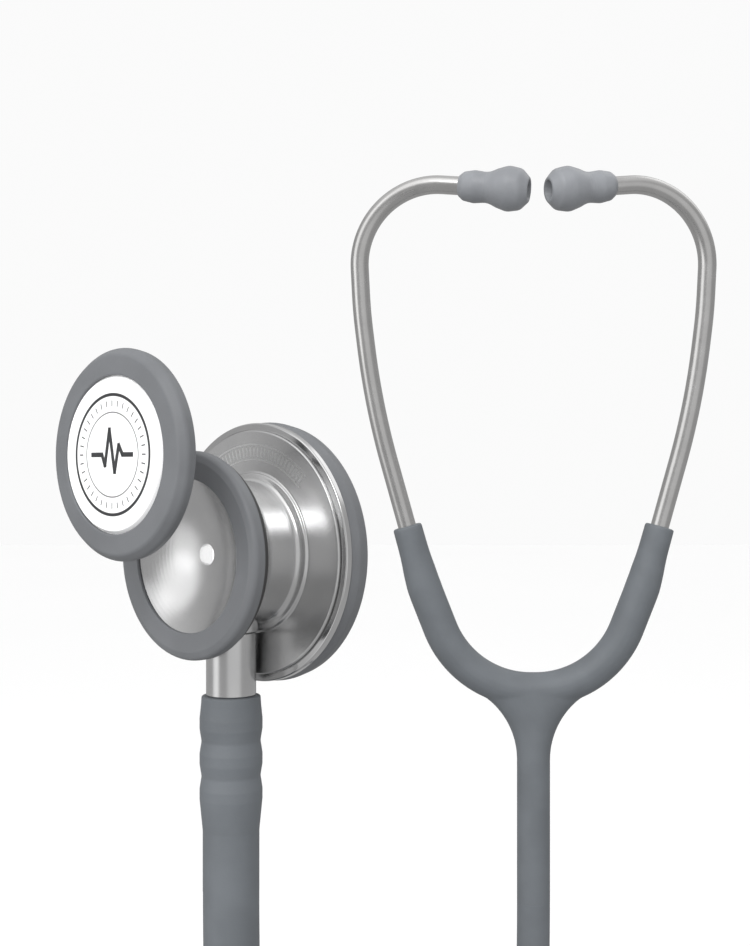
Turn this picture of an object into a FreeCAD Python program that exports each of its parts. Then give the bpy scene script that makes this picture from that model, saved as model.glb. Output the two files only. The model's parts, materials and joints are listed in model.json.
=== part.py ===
import FreeCAD, Part
import math
import os

# A dual-sided stethoscope as it hangs in use: the ear tips are at the wearer's
# ears, the flexible tube hangs in a U, and the chestpiece is held out in front.
# Millimetres and degrees, +Z up, +X to the right, -Y towards the chestpiece.
# The origin is midway between the two ear tips.

# ---- chestpiece: where it is and which way it faces ----
stem_x = -73.5
stem_y = -164.0
chest_z = -98.4            # height of the axis through both listening sides
chest_azimuth = 43.0       # turn of the bell side from -Y towards -X

# ---- chestpiece body, heights along its axis, the bell side positive ----
hub_radius = 12.6
hub_bell_end = 3.4
shoulder_radius = 14.35    # step between the hub's cove and the wide flange
flange_radius = 21.85
flange_front = -4.9
flange_cone = 0.25         # the flange face falls this much towards the hub
band_radius = 23.2         # polished step band around the flange
band_front = -5.6
band_back = -6.9
rim_seat_radius = 21.7
seat_face = -9.6           # the wide side's open end
chamber_radius = 20.2      # shallow sound chamber behind the wide diaphragm
chamber_depth = 1.9
bell_bead_radius = 16.6    # the sleeve, or the small cap, snaps over this bead
bell_bead_depth = 0.6      # of the groove behind it
bell_wall = 2.9            # from the bead in to the cup's mouth
bell_lip_stand = 0.85      # the visible steel lip stands this far beyond the bead
bell_groove_radius = bell_bead_radius - bell_bead_depth
bell_cup_radius = bell_bead_radius - bell_wall
bell_lip_radius = bell_bead_radius + bell_lip_stand
bell_back = 7.3            # back of the lip
bell_lip_front = 8.1
bell_bead_back = 9.1
bell_mouth = 10.0
bell_cup_floor = 5.5
sound_hole_radius = 1.9
boss_radius = 4.8
boss_end = 13.8            # below the chestpiece axis

# ---- wide diaphragm and its rim ----
diaphragm_radius = 21.2
diaphragm_thickness = 0.45
diaphragm_rise = 1.25      # the middle stands this far behind the clamped edge
diaphragm_gap = 0.5        # what the diaphragm can move in before it bottoms
diaphragm_plateau = 19.4
large_rim_radius = 23.4
large_rim_widest = -8.8
large_rim_lip_radius = 20.6
large_rim_lip = 0.75

# ---- bell sleeve and the small diaphragm's cap ----
sleeve_wall = 1.42         # outside the bead
sleeve_cover = 3.3         # from the bead in over the bell's rim
sleeve_radius = bell_bead_radius + sleeve_wall
sleeve_opening = bell_bead_radius - sleeve_cover
sleeve_front = 10.8
cap_offset = 14.2          # how far the small cap stands off its seat, along the axis
cap_lift = 17.2            # and above it, as it is held when taken off
cap_wall = 1.07            # outside the bead
cap_frame = 4.1            # from the bead in to the visible part of the small diaphragm
cap_grip = 2.3             # how far the disc reaches under the cap's frame
cap_radius = bell_bead_radius + cap_wall
cap_window = bell_bead_radius - cap_frame
small_disc_radius = cap_window + cap_grip
small_disc_thickness = 0.4
small_disc_rise = 0.75
small_disc_gap = 0.45

# ---- stem, its white valve sleeve, detent and retaining ring ----
stem_radius = 4.42
stem_lumen = 1.75
journal_radius = 2.6
valve_radius = 3.3
journal_top = 9.9          # above the chestpiece axis
running_gap = 0.05
axial_gap = 0.1
ball_radius = 1.0
detent_height = 7.2        # above the chestpiece axis
dimple_depth = 0.35
ring_outer = 4.1
ring_thickness = 0.8
ring_drop = 11.2           # below the chestpiece axis
barb_radius = 2.95
barb_length = 18.0
barb_teeth = 3
barb_flat = 1.4
ring_groove_depth = 0.5
ring_mouth = 3.0           # the ring's open side
detent_wire_radius = 0.13
detent_coils = 5.5

# ---- tube, its collar at the stem, and the yoke ----
tube_radius = 5.0
lumen_radius = 2.4
collar_top = -123.5
collar_bottom = -158.0
collar_bulge = 5.55
collar_waist = 5.3
collar_pitch = 6.2         # from one bulge to the next
collar_first_bulge = 4.9   # from the collar's top to the first bulge's middle
bulge_half_width = 0.9
collar_taper = 6.5         # from the last bulge to where the tube's own size starts
headset_y = 14.6           # the yoke and lower ear tubes lie in this plane
yoke_leg_end = -214.0
yoke_bottom = -149.8       # centre line of the yoke's bend at its lowest
yoke_bend = 29.4
arm_top_x = 38.3
arm_top_z = -100.3
arm_tilt = 15.6            # of the arm's upper end from the vertical
arm_spread = 21.5          # of the arm where it meets the bend
arm_elbow = 19.0           # from the arm's top to where it tilts outwards
arm_elbow_bend = 60.0
arm_step_start = 9.0       # the arm's end thickens between these
arm_step_end = 15.5
arm_step_round = 6.0
arm_top_radius = 4.45
arm_radius = 5.25
fillet_radius = 23.5       # between the leg and the bend

# ---- ear tubes, spring and ear tips ----
ear_tube_radius = 2.75
ear_tube_bore = 1.95
ear_tube_insert = 20.5     # length held inside the yoke's arm
ear_tube_flare = 38.0      # from the arm's top to where the tube turns upright
ear_tube_flare_bend = 240.0
ear_tube_rise = 28.6       # from there to where it turns in again
ear_tube_rise_tilt = 7.0
ear_tube_rise_bend = 155.0
ear_bend = 23.0            # radius of the bend towards the ear
ear_bend_x = 54.0          # where the lines of that bend meet
ear_bend_z = 4.7
clip_length = 7.5
clip_wall = 0.38
spring_thickness = 0.6
spring_width = 4.6
spring_offset = 3.55       # from the arm's centre line, towards the inside
snap_groove_place = 2.5    # from the ear tube's end to the middle of its groove
snap_groove_depth = 0.3
snap_groove_half_width = 0.6
tip_gap_half = 2.8         # from the middle to each ear tip's mouth
tip_mouth_y = 0.9
tip_mouth_z = -1.15
tip_length = 21.0
tip_bulb_radius = 6.65
tip_bump_radius = 4.75
tip_mouth_radius = 2.7
tip_channel_radius = 1.6
core_radius = 3.55
core_length = 9.0
ear_tube_reach = 10.5      # from the mouth to the ear tube's end

# Route of the free tube in the vertical plane of its two ends: how far along
# from the yoke's leg, as a share of the distance between the ends, and height.
tube_route = [(0.0, yoke_leg_end), (0.0, -278.0), (0.27, -338.0),
              (0.69, -330.0), (1.0, -236.0), (1.0, collar_bottom)]
run_share = 0.45


def vector(x, y, z):
    return FreeCAD.Vector(x, y, z)


def tilted(angle):
    # direction in the headset's plane, turned from +Z towards +X
    return vector(math.sin(math.radians(angle)), 0, math.cos(math.radians(angle)))


def corner(before, point, after, radius):
    # where a tangent arc starts, its middle and its end
    back = (before - point).normalize()
    ahead = (after - point).normalize()
    half_turn = (math.pi - back.getAngle(ahead)) / 2
    reach = radius * math.tan(half_turn)
    inward = (back + ahead).normalize()
    middle = point + inward * (radius / math.cos(half_turn) - radius)
    return point + back * reach, middle, point + ahead * reach


def rounded_path(points, radii, closed=False):
    # straight runs joined by tangent arcs; a radius of 0 leaves a sharp corner
    stops = []
    count = len(points)
    for index, (point, radius) in enumerate(zip(points, radii)):
        inner = closed or 0 < index < count - 1
        if inner and radius > 0:
            stops.append(corner(points[index - 1], point, points[(index + 1) % count], radius))
        else:
            stops.append((point, point, point))
    edges = []
    for index, (start, middle, end) in enumerate(stops):
        if end.distanceToPoint(start) > 1e-6:
            edges.append(Part.Arc(start, middle, end).toShape())
        if index < count - 1 or closed:
            following = stops[(index + 1) % count][0]
            if following.distanceToPoint(end) > 1e-6:
                edges.append(Part.LineSegment(end, following).toShape())
    return edges


def outline_face(outline, at):
    # outline rows are first size, second size and an optional corner radius
    points = [at(row[0], row[1]) for row in outline]
    radii = [row[2] if len(row) > 2 else 0 for row in outline]
    return Part.Face(Part.Wire(rounded_path(points, radii, closed=True)))


def turned(outline):
    # a turned part about +Z from rows of radius, height and corner radius
    face = outline_face(outline, lambda radius, height: vector(radius, 0, height))
    return face.revolve(vector(0, 0, 0), vector(0, 0, 1), 360)


def rod(radius, start, direction, length):
    return Part.makeCylinder(radius, length, start, direction)


def pipe(edges, radius):
    wire = Part.Wire(edges)
    start = edges[0].valueAt(edges[0].FirstParameter)
    heading = edges[0].tangentAt(edges[0].FirstParameter)
    disc = Part.Face(Part.Wire(Part.Edge(Part.Circle(start, heading, radius))))
    return wire.makePipe(disc)


def mirrored(shape):
    return shape.mirror(vector(0, 0, 0), vector(1, 0, 0))


def placed(shape, origin, axis, side):
    # turns local +Z to axis and local +X to side, then moves to origin
    turn = FreeCAD.Rotation(side, vector(0, 0, 0), axis, "ZXY")
    result = shape.copy()
    result.Placement = FreeCAD.Placement(origin, turn).multiply(result.Placement)
    return result


# ---- chestpiece ----

chest_centre = vector(stem_x, stem_y, chest_z)
bell_axis = vector(-math.sin(math.radians(chest_azimuth)), -math.cos(math.radians(chest_azimuth)), 0)
up = vector(0, 0, 1)


def on_chestpiece(shape, shift=vector(0, 0, 0)):
    # local +Z is the bell side's axis and local +X is up
    return placed(shape, chest_centre + shift, bell_axis, up)


def dish_radius(mouth_radius, depth):
    return (mouth_radius ** 2 + depth ** 2) / (2 * depth)


def chestpiece_body():
    solid = turned([
        (0, seat_face), (rim_seat_radius, seat_face, 0.2),
        (rim_seat_radius, band_back), (band_radius, band_back, 0.25),
        (band_radius, band_front, 0.3), (flange_radius, band_front),
        (flange_radius, flange_front, 0.3),
        (shoulder_radius, flange_front - flange_cone, 0.3),
        (shoulder_radius - 0.25, flange_front - flange_cone + 0.55, 0.3),
        (hub_radius, flange_front - flange_cone + 0.8, 1.2),
        (hub_radius, hub_bell_end, 3.4), (bell_lip_radius - 0.5, bell_back - 0.7, 0.8),
        (bell_lip_radius, bell_back, 0.2), (bell_lip_radius, bell_lip_front, 0.2),
        (bell_groove_radius, bell_lip_front), (bell_groove_radius, bell_bead_back),
        (bell_bead_radius, bell_bead_back, 0.2), (bell_bead_radius, bell_mouth, 0.3),
        (0, bell_mouth)])
    depth = bell_mouth - bell_cup_floor
    dish = dish_radius(bell_cup_radius, depth)
    cup = Part.makeSphere(dish, vector(0, 0, bell_cup_floor + dish))
    chamber = turned([(0, seat_face - 1), (chamber_radius, seat_face - 1),
                      (chamber_radius, seat_face + 0.6), (sound_hole_radius, seat_face + chamber_depth),
                      (0, seat_face + chamber_depth)])
    sound_hole = rod(sound_hole_radius, vector(0, 0, seat_face - 1), up, bell_mouth - seat_face)
    solid = solid.cut(cup).cut(chamber).cut(sound_hole)
    down = vector(-1, 0, 0)
    boss = rod(boss_radius, vector(0, 0, 0), down, boss_end)
    bore_radius = valve_radius + running_gap
    bore_top = journal_top + axial_gap
    bore = rod(bore_radius, vector(bore_top, 0, 0), down, bore_top + boss_end + 1)
    ring_groove = rod(ring_outer + running_gap, vector(-ring_drop + running_gap, 0, 0), down,
                      ring_thickness + 2 * running_gap)
    solid = solid.fuse(boss).cut(bore).cut(ring_groove)
    for side in (1, -1):
        reach = bore_radius + dimple_depth - ball_radius
        solid = solid.cut(Part.makeSphere(ball_radius + running_gap,
                                          vector(detent_height, 0, side * reach)))
    return on_chestpiece(solid.removeSplitter())


def large_diaphragm():
    edge_front = seat_face - diaphragm_gap
    edge_back = edge_front - diaphragm_thickness
    step = large_rim_lip_radius - running_gap * 4
    return on_chestpiece(turned([
        (0, edge_front - diaphragm_rise), (diaphragm_plateau, edge_front - diaphragm_rise),
        (step, edge_front), (diaphragm_radius, edge_front),
        (diaphragm_radius, edge_back), (step, edge_back),
        (diaphragm_plateau, edge_back - diaphragm_rise, 0.2), (0, edge_back - diaphragm_rise)]))


def large_rim():
    lip_front = seat_face - diaphragm_gap - diaphragm_thickness - running_gap
    back = lip_front - large_rim_lip
    inner = rim_seat_radius + running_gap
    return on_chestpiece(turned([
        (inner, band_back - running_gap), (band_radius - 0.1, band_back - running_gap),
        (large_rim_radius - 0.35, band_back - 0.5, 0.5), (large_rim_radius, large_rim_widest, 1.5),
        (large_rim_radius - 0.5, back, 0.9), (large_rim_lip_radius, back, 0.3),
        (large_rim_lip_radius, lip_front), (inner, lip_front)]))


def bell_sleeve():
    inner = bell_bead_radius + running_gap
    hook = bell_groove_radius + running_gap
    back = bell_lip_front + running_gap
    return on_chestpiece(turned([
        (hook, back), (sleeve_radius, back, 0.3), (sleeve_radius, sleeve_front - 0.5, 1.0),
        (sleeve_radius - 1.4, sleeve_front, 0.6), (sleeve_opening, sleeve_front - 0.15, 0.3),
        (sleeve_opening, bell_mouth + running_gap), (inner, bell_mouth + running_gap),
        (inner, bell_bead_back - running_gap), (hook, bell_bead_back - running_gap)]))


def on_cap(shape):
    # the small cap has the bell's own heights when it is seated
    return on_chestpiece(shape, bell_axis * cap_offset + up * cap_lift)


def small_diaphragm():
    edge_back = bell_mouth + small_disc_gap
    edge_front = edge_back + small_disc_thickness
    step = cap_window + 0.5
    return on_cap(turned([
        (0, edge_back + small_disc_rise), (cap_window - 0.6, edge_back + small_disc_rise),
        (step, edge_back), (small_disc_radius, edge_back), (small_disc_radius, edge_front),
        (step, edge_front), (cap_window - 0.2, edge_front + small_disc_rise, 0.2),
        (0, edge_front + small_disc_rise)]))


def small_rim():
    inner = bell_bead_radius + running_gap
    hook = bell_groove_radius + running_gap * 4
    back = bell_lip_front + running_gap * 2
    lip = bell_mouth + small_disc_gap + small_disc_thickness + running_gap
    return on_cap(turned([
        (hook, back), (cap_radius - 0.3, back, 0.3), (cap_radius, back + 1.7, 1.2),
        (cap_radius - 1.1, lip + 0.35, 1.0), (cap_window + 0.55, lip + 0.6, 0.25),
        (cap_window + 0.55, lip), (inner, lip),
        (inner, bell_bead_back - running_gap), (hook, bell_bead_back - running_gap)]))


# ---- stem: local +Z is up, the chestpiece axis at height 0 ----

def on_stem(shape):
    # local +X is the bell side's direction
    return placed(shape, chest_centre, up, bell_axis)


def side_port(radius, start):
    # the valve is open to the wide side and closed to the bell
    return rod(radius, vector(0, 0, 0), vector(-1, 0, 0), start)


def stem():
    shoulder = -boss_end - axial_gap
    barb_top = collar_top - chest_z - running_gap
    ring_top = -ring_drop + running_gap
    ring_bottom = ring_top - ring_thickness - 2 * running_gap
    rows = [(0, journal_top), (journal_radius, journal_top, 0.2), (journal_radius, ring_top),
            (journal_radius - ring_groove_depth, ring_top), (journal_radius - ring_groove_depth, ring_bottom),
            (valve_radius, ring_bottom), (valve_radius, shoulder),
            (stem_radius, shoulder, 0.3), (stem_radius, barb_top, 0.3), (lumen_radius, barb_top)]
    pitch = barb_length / barb_teeth
    for tooth in range(barb_teeth):
        top = barb_top - 1.0 - tooth * pitch
        rows += [(lumen_radius, top), (barb_radius, top), (lumen_radius, top - pitch + barb_flat)]
    rows += [(lumen_radius, barb_top - barb_length - 1), (0, barb_top - barb_length - 1)]
    solid = turned(rows)
    bottom = barb_top - barb_length - 2
    solid = solid.cut(rod(stem_lumen, vector(0, 0, bottom), up, sound_hole_radius - bottom))
    solid = solid.cut(side_port(sound_hole_radius, journal_radius + 1))
    reach = valve_radius + 1
    return on_stem(solid.cut(rod(ball_radius + running_gap, vector(-reach, 0, detent_height),
                                 vector(1, 0, 0), 2 * reach)))


def valve_sleeve():
    bottom = -ring_drop + 3 * running_gap
    top = journal_top
    inner = journal_radius + running_gap
    solid = turned([(inner, bottom), (valve_radius, bottom, 0.1), (valve_radius, top, 0.1), (inner, top)])
    reach = valve_radius + 1
    solid = solid.cut(side_port(sound_hole_radius, reach))
    return on_stem(solid.cut(rod(ball_radius + running_gap, vector(-reach, 0, detent_height),
                                 vector(1, 0, 0), 2 * reach)))


def detent_reach():
    return valve_radius + running_gap + dimple_depth - ball_radius


def detent_balls():
    balls = [Part.makeSphere(ball_radius, vector(side * detent_reach(), 0, detent_height))
             for side in (1, -1)]
    return on_stem(Part.makeCompound(balls))


def detent_spring():
    wire = detent_wire_radius
    length = 2 * (detent_reach() - ball_radius) - 2 * wire
    coil = Part.makeHelix(length / detent_coils, length, ball_radius - 2 * wire)
    start = coil.Edges[0].valueAt(coil.Edges[0].FirstParameter)
    heading = coil.Edges[0].tangentAt(coil.Edges[0].FirstParameter)
    section = Part.Wire(Part.Edge(Part.Circle(start, heading, wire)))
    solid = Part.Wire(coil.Edges).makePipeShell([section], True, True)
    upright = placed(solid, vector(-length / 2, 0, detent_height), vector(1, 0, 0), up)
    return on_stem(upright)


def retaining_ring():
    solid = rod(ring_outer, vector(0, 0, -ring_drop), vector(0, 0, -1), ring_thickness)
    inner = journal_radius - ring_groove_depth + running_gap
    solid = solid.cut(rod(inner, vector(0, 0, 0), vector(0, 0, -1), boss_end))
    mouth = Part.makeBox(ring_outer * 2, ring_mouth, 3 * ring_thickness,
                         vector(0, -ring_mouth / 2, -ring_drop - 2 * ring_thickness))
    return on_stem(solid.cut(mouth))


# ---- tube ----

leg_end = vector(0, headset_y, yoke_leg_end)


def tube_points():
    return [vector(stem_x * share, headset_y + (stem_y - headset_y) * share, height)
            for share, height in tube_route]


def tube_radii(points):
    radii = [0]
    for before, point, after in zip(points, points[1:], points[2:]):
        shorter = min(before.distanceToPoint(point), point.distanceToPoint(after))
        turn = (point - before).getAngle(after - point)
        radii.append(run_share * shorter / math.tan(turn / 2))
    return radii + [0]


def tube():
    points = tube_points()
    radii = tube_radii(points)
    edges = rounded_path(points, radii)
    solid = pipe(edges, tube_radius).cut(pipe(edges, lumen_radius))
    length = sum(edge.Length for edge in edges)
    section = math.pi * (tube_radius ** 2 - lumen_radius ** 2)
    print("tube bend radii", [round(radius) for radius in radii[1:-1]])
    print("tube length", round(length, 1), "volume over section times length",
          round(solid.Volume / (section * length), 5))
    return solid


def tube_collar():
    outline = [(lumen_radius, collar_bottom), (tube_radius, collar_bottom)]
    first_bulge = collar_top - collar_first_bulge
    outline.append((tube_radius, first_bulge - 2 * collar_pitch - collar_taper, 6.0))
    for bulge in (2, 1, 0):
        height = first_bulge - bulge * collar_pitch
        if bulge < 2:
            outline.append((collar_waist - 0.1, height - collar_pitch / 2, 1.6))
        outline.append((collar_bulge, height - bulge_half_width, 1.6))
        outline.append((collar_bulge, height + bulge_half_width, 1.6))
    outline += [(collar_waist, collar_top - 1.6, 1.0), (collar_waist - 0.1, collar_top, 0.35),
                (lumen_radius, collar_top)]
    solid = turned(outline)
    solid.translate(vector(stem_x, stem_y, 0))
    return solid.cut(stem())


# ---- headset: the right half, mirrored for the left ----

arm_top = vector(arm_top_x, headset_y, arm_top_z)
arm_heading = tilted(arm_tilt)


def yoke_half_points():
    elbow = arm_top - arm_heading * arm_elbow
    drop = elbow.z - yoke_bottom
    foot = elbow - vector(drop * math.tan(math.radians(arm_spread)), 0, drop)
    return [elbow, foot]


def bend_path(start):
    # centre line of the yoke's bend, from one arm to the other
    elbow, foot = yoke_half_points()
    right = [start, elbow, foot]
    left = [vector(-point.x, point.y, point.z) for point in reversed(right)]
    radii = [0, arm_elbow_bend, yoke_bend]
    return rounded_path(right + left, radii + radii[::-1])


def leaf_spring(slack=0.0):
    start = arm_top - arm_heading * (ear_tube_insert - clip_length)
    edges = bend_path(start)
    half_width = spring_width / 2 + slack
    inward = vector(-arm_heading.z, 0, arm_heading.x)
    rows = []
    for across, out in ((-1, -1), (1, -1), (1, 1), (-1, 1)):
        offset = spring_offset + out * (spring_thickness / 2 + slack)
        rows.append(start + inward * offset + vector(0, across * half_width, 0))
    section = Part.Face(Part.makePolygon(rows + rows[:1]))
    return Part.Wire(edges).makePipe(section)


def leg_flare():
    # elliptical sections, widened by the fillet circle between leg and bend
    centre_x = tube_radius + fillet_radius
    outer_bend = yoke_bend + arm_radius
    bend_centre = yoke_bottom + yoke_bend
    rise = math.sqrt((outer_bend + fillet_radius) ** 2 - centre_x ** 2)
    base = bend_centre - rise
    top = rise * fillet_radius / (outer_bend + fillet_radius)
    leg_top = vector(0, headset_y, base)
    sections = [Part.Wire(Part.Edge(Part.Circle(leg_top, up, tube_radius)))]
    steps = 7
    for step in range(1, steps + 1):
        height = top * step / steps
        half_width = centre_x - math.sqrt(fillet_radius ** 2 - height ** 2)
        half_depth = tube_radius + (arm_radius - tube_radius) * step / steps
        centre = vector(0, headset_y, base + height)
        wide_end = centre + vector(half_width, 0, 0)
        ellipse = Part.Ellipse(wide_end, centre + vector(0, half_depth, 0), centre)
        sections.append(Part.Wire(Part.Edge(ellipse)))
    return Part.makeLoft(sections, True), base


def arm_end():
    # local +Z runs down the arm from its top
    solid = turned([(0, 0), (arm_top_radius, 0, 0.3), (arm_top_radius + 0.1, arm_step_start, arm_step_round),
                    (arm_radius - 0.25, arm_step_end, arm_step_round), (arm_radius, arm_elbow),
                    (0, arm_elbow)])
    socket = rod(ear_tube_radius + running_gap, vector(0, 0, -1), up, ear_tube_insert + 1.2)
    clip_start = ear_tube_insert - clip_length
    clip_room = rod(ear_tube_radius + clip_wall + 2 * running_gap, vector(0, 0, clip_start - 0.1), up,
                    clip_length + 0.2)
    side = vector(0, 1, 0)
    return (placed(solid, arm_top, arm_heading * -1, side),
            placed(socket.fuse(clip_room), arm_top, arm_heading * -1, side))


def yoke():
    flare, leg_top = leg_flare()
    end, socket = arm_end()
    elbow = yoke_half_points()[0]
    overlap = elbow + arm_heading * 1.5
    leg = rod(tube_radius, leg_end, up, leg_top - yoke_leg_end)
    edges = bend_path(overlap)
    solid = pipe(edges, arm_radius).fuse(end).fuse(mirrored(end)).fuse(flare).fuse(leg)
    inside = pipe(edges, lumen_radius)
    inside = inside.fuse(rod(lumen_radius, leg_end, up, yoke_bottom - yoke_leg_end))
    solid = solid.cut(inside).cut(socket).cut(mirrored(socket))
    return solid.cut(leaf_spring(running_gap))


tip_mouth = vector(tip_gap_half, tip_mouth_y, tip_mouth_z)
bend_corner = vector(ear_bend_x, headset_y, ear_bend_z)


def tip_heading():
    return (bend_corner - tip_mouth).normalize()


def ear_tube_path():
    foot = arm_top - arm_heading * ear_tube_insert
    shoulder = arm_top + arm_heading * ear_tube_flare
    waist = shoulder + tilted(ear_tube_rise_tilt) * ear_tube_rise
    end = tip_mouth + tip_heading() * ear_tube_reach
    return rounded_path([foot, shoulder, waist, bend_corner, end],
                        [0, ear_tube_flare_bend, ear_tube_rise_bend, ear_bend, 0])


def snap_groove(clearance, room):
    # ring shape that the core's snap ridge and the ear tube's groove share
    radius = ear_tube_radius - snap_groove_depth + clearance
    bottom = ear_tube_reach + snap_groove_place - snap_groove_half_width - room
    top = ear_tube_reach + snap_groove_place + snap_groove_half_width + room
    return turned([(radius, bottom), (ear_tube_radius + 1, bottom),
                   (ear_tube_radius + 1, top), (radius, top)])


def on_tip(shape):
    # local +Z runs from the mouth back along the ear tube
    return placed(shape, tip_mouth, tip_heading(), vector(0, 0, 1).cross(tip_heading()).normalize())


def ear_tube():
    edges = ear_tube_path()
    solid = pipe(edges, ear_tube_radius).cut(pipe(edges, ear_tube_bore))
    return solid.cut(on_tip(snap_groove(0, running_gap)))


def spring_clip():
    start = ear_tube_insert - clip_length
    inner = ear_tube_radius + 0.02
    solid = turned([(inner, start), (inner + clip_wall, start, 0.1),
                    (inner + clip_wall, start + clip_length, 0.1), (inner, start + clip_length)])
    return placed(solid, arm_top, arm_heading * -1, vector(0, 1, 0))


def eartip_core():
    start = ear_tube_reach - 0.5
    inner = ear_tube_radius + running_gap
    solid = turned([(tip_channel_radius, start - 1.0), (core_radius, start - 1.0, 0.3),
                    (core_radius, start + core_length, 0.3), (inner, start + core_length),
                    (inner, start), (tip_channel_radius, start)])
    ridge = snap_groove(running_gap, -running_gap)
    limit = rod(core_radius - 0.2, vector(0, 0, start), up, core_length)
    return on_tip(solid.fuse(ridge.common(limit)))


def eartip():
    start = ear_tube_reach - 1.5
    end = ear_tube_reach - 0.5 + core_length
    outside = turned([
        (0, 0), (tip_mouth_radius + 0.9, 0, 0.7), (tip_bulb_radius - 0.6, 2.4, 2.6),
        (tip_bulb_radius + 0.1, 6.3, 4.0), (tip_bulb_radius - 1.0, 9.6, 4.0),
        (tip_bump_radius - 0.35, 12.3, 5.0), (tip_bump_radius + 0.1, 16.4, 3.5),
        (tip_bump_radius - 0.5, tip_length - 1.4, 1.4), (ear_tube_radius + 0.35, tip_length, 0.3),
        (0, tip_length)])
    channel = turned([
        (0, -1), (tip_mouth_radius + 0.3, -1), (tip_mouth_radius, 0.6, 0.5),
        (tip_channel_radius + 0.4, 2.0, 0.5), (tip_channel_radius, 2.6), (tip_channel_radius, start),
        (core_radius + 0.01, start), (core_radius + 0.01, end),
        (ear_tube_radius + 2 * running_gap, end), (ear_tube_radius + 2 * running_gap, tip_length + 1),
        (0, tip_length + 1)])
    return on_tip(outside.cut(channel))


def build():
    nodes = {
        "chestpiece_body": chestpiece_body(),
        "large_diaphragm": large_diaphragm(),
        "large_rim": large_rim(),
        "bell_sleeve": bell_sleeve(),
        "small_diaphragm": small_diaphragm(),
        "small_rim": small_rim(),
        "stem": stem(),
        "valve_sleeve": valve_sleeve(),
        "detent_balls": detent_balls(),
        "detent_spring": detent_spring(),
        "retaining_ring": retaining_ring(),
        "tube_collar": tube_collar(),
        "tube": tube(),
        "yoke": yoke(),
        "leaf_spring": leaf_spring(),
    }
    paired = {"ear_tube": ear_tube(), "spring_clip": spring_clip(),
              "eartip_core": eartip_core(), "eartip": eartip()}
    for name, shape in paired.items():
        nodes["right_" + name] = shape
        nodes["left_" + name] = mirrored(shape)
    os.makedirs("parts", exist_ok=True)
    for name, shape in nodes.items():
        print(name, "valid" if shape.isValid() else "NOT VALID", len(shape.Solids), round(shape.Volume, 2))
        shape.exportStep("parts/" + name + ".step")


build()
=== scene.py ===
import json
import math

import bpy
from mathutils import Matrix, Vector


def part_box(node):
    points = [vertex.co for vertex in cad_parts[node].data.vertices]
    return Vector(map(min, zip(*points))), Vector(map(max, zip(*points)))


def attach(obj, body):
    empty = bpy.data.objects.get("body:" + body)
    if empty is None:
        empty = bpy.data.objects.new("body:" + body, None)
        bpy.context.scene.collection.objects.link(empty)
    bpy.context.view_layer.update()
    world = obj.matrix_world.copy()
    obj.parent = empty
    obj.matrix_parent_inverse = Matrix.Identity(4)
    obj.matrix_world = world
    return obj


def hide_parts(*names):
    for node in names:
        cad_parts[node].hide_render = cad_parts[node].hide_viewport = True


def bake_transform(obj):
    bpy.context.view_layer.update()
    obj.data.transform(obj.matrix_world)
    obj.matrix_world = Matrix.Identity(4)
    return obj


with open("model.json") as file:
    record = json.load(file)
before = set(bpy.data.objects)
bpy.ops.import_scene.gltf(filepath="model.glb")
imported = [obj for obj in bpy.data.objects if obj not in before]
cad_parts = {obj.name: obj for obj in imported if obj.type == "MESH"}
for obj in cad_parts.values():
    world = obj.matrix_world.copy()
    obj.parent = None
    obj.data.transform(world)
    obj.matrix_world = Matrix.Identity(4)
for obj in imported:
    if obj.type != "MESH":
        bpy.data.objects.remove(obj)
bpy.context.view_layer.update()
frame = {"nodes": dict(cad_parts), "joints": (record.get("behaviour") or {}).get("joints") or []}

# Looks for a dual-sided stethoscope. The sizes in the dictionaries are in millimetres.
mm = 0.001
nodes = frame["nodes"]
joints = {joint["name"]: joint for joint in frame["joints"]}
print("frame loaded,", len(nodes), "nodes")


def middle(node):
    low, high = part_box(node)
    return (low + high) / 2


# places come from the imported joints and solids
up = Vector((0, 0, 1))
chestCentre = Vector(joints["chestpiece_turn"]["pos_m"])
bellAxis = Vector(joints["wide_diaphragm_press"]["axis"]).normalized()
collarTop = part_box("tube_collar")[1].z
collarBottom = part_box("tube_collar")[0].z
headsetY = middle("yoke").y
legEnd = Vector((0, headsetY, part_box("yoke")[0].z))
tipMouth = Vector(joints["right_tip_twist"]["pos_m"])
tipAxis = Vector(joints["right_tip_twist"]["axis"]).normalized()


def placeAt(centre, axis, side):
    # local Z along the axis, local X towards the side
    across = (side - axis * side.dot(axis)).normalized()
    turn = Matrix((across, axis.cross(across), axis)).transposed().to_4x4()
    return Matrix.Translation(centre) @ turn


def mirroredPoint(point):
    return Vector((-point.x, point.y, point.z))


chestPlace = placeAt(chestCentre, bellAxis, up)
stemPlace = placeAt(chestCentre, up, bellAxis)
# the cap has the bell's own heights, so its origin is where the chestpiece's would be
cap = {"offset": 14.2, "lift": 17.2}
capPlace = placeAt(chestCentre + bellAxis * cap["offset"] * mm + up * cap["lift"] * mm, bellAxis, up)
rightTipPlace = placeAt(tipMouth, tipAxis, up)
leftTipPlace = placeAt(mirroredPoint(tipMouth), mirroredPoint(tipAxis), up)


# camera straight ahead along +Y
shot = {"focalShare": 1.889, "distance": 0.4294, "across": -0.04803, "height": -0.0842, "sensor": 36.0}
cameraData = bpy.data.cameras.new("camera")
cameraData.sensor_fit = "HORIZONTAL"
cameraData.sensor_width = shot["sensor"]
cameraData.lens = shot["sensor"] * shot["focalShare"]
cameraData.clip_start = 0.01
cameraData.clip_end = 20
camera = bpy.data.objects.new("camera", cameraData)
bpy.context.scene.collection.objects.link(camera)
camera.location = (shot["across"], headsetY - shot["distance"], shot["height"])
camera.rotation_euler = (math.pi / 2, 0, 0)
bpy.context.scene.camera = camera


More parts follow.
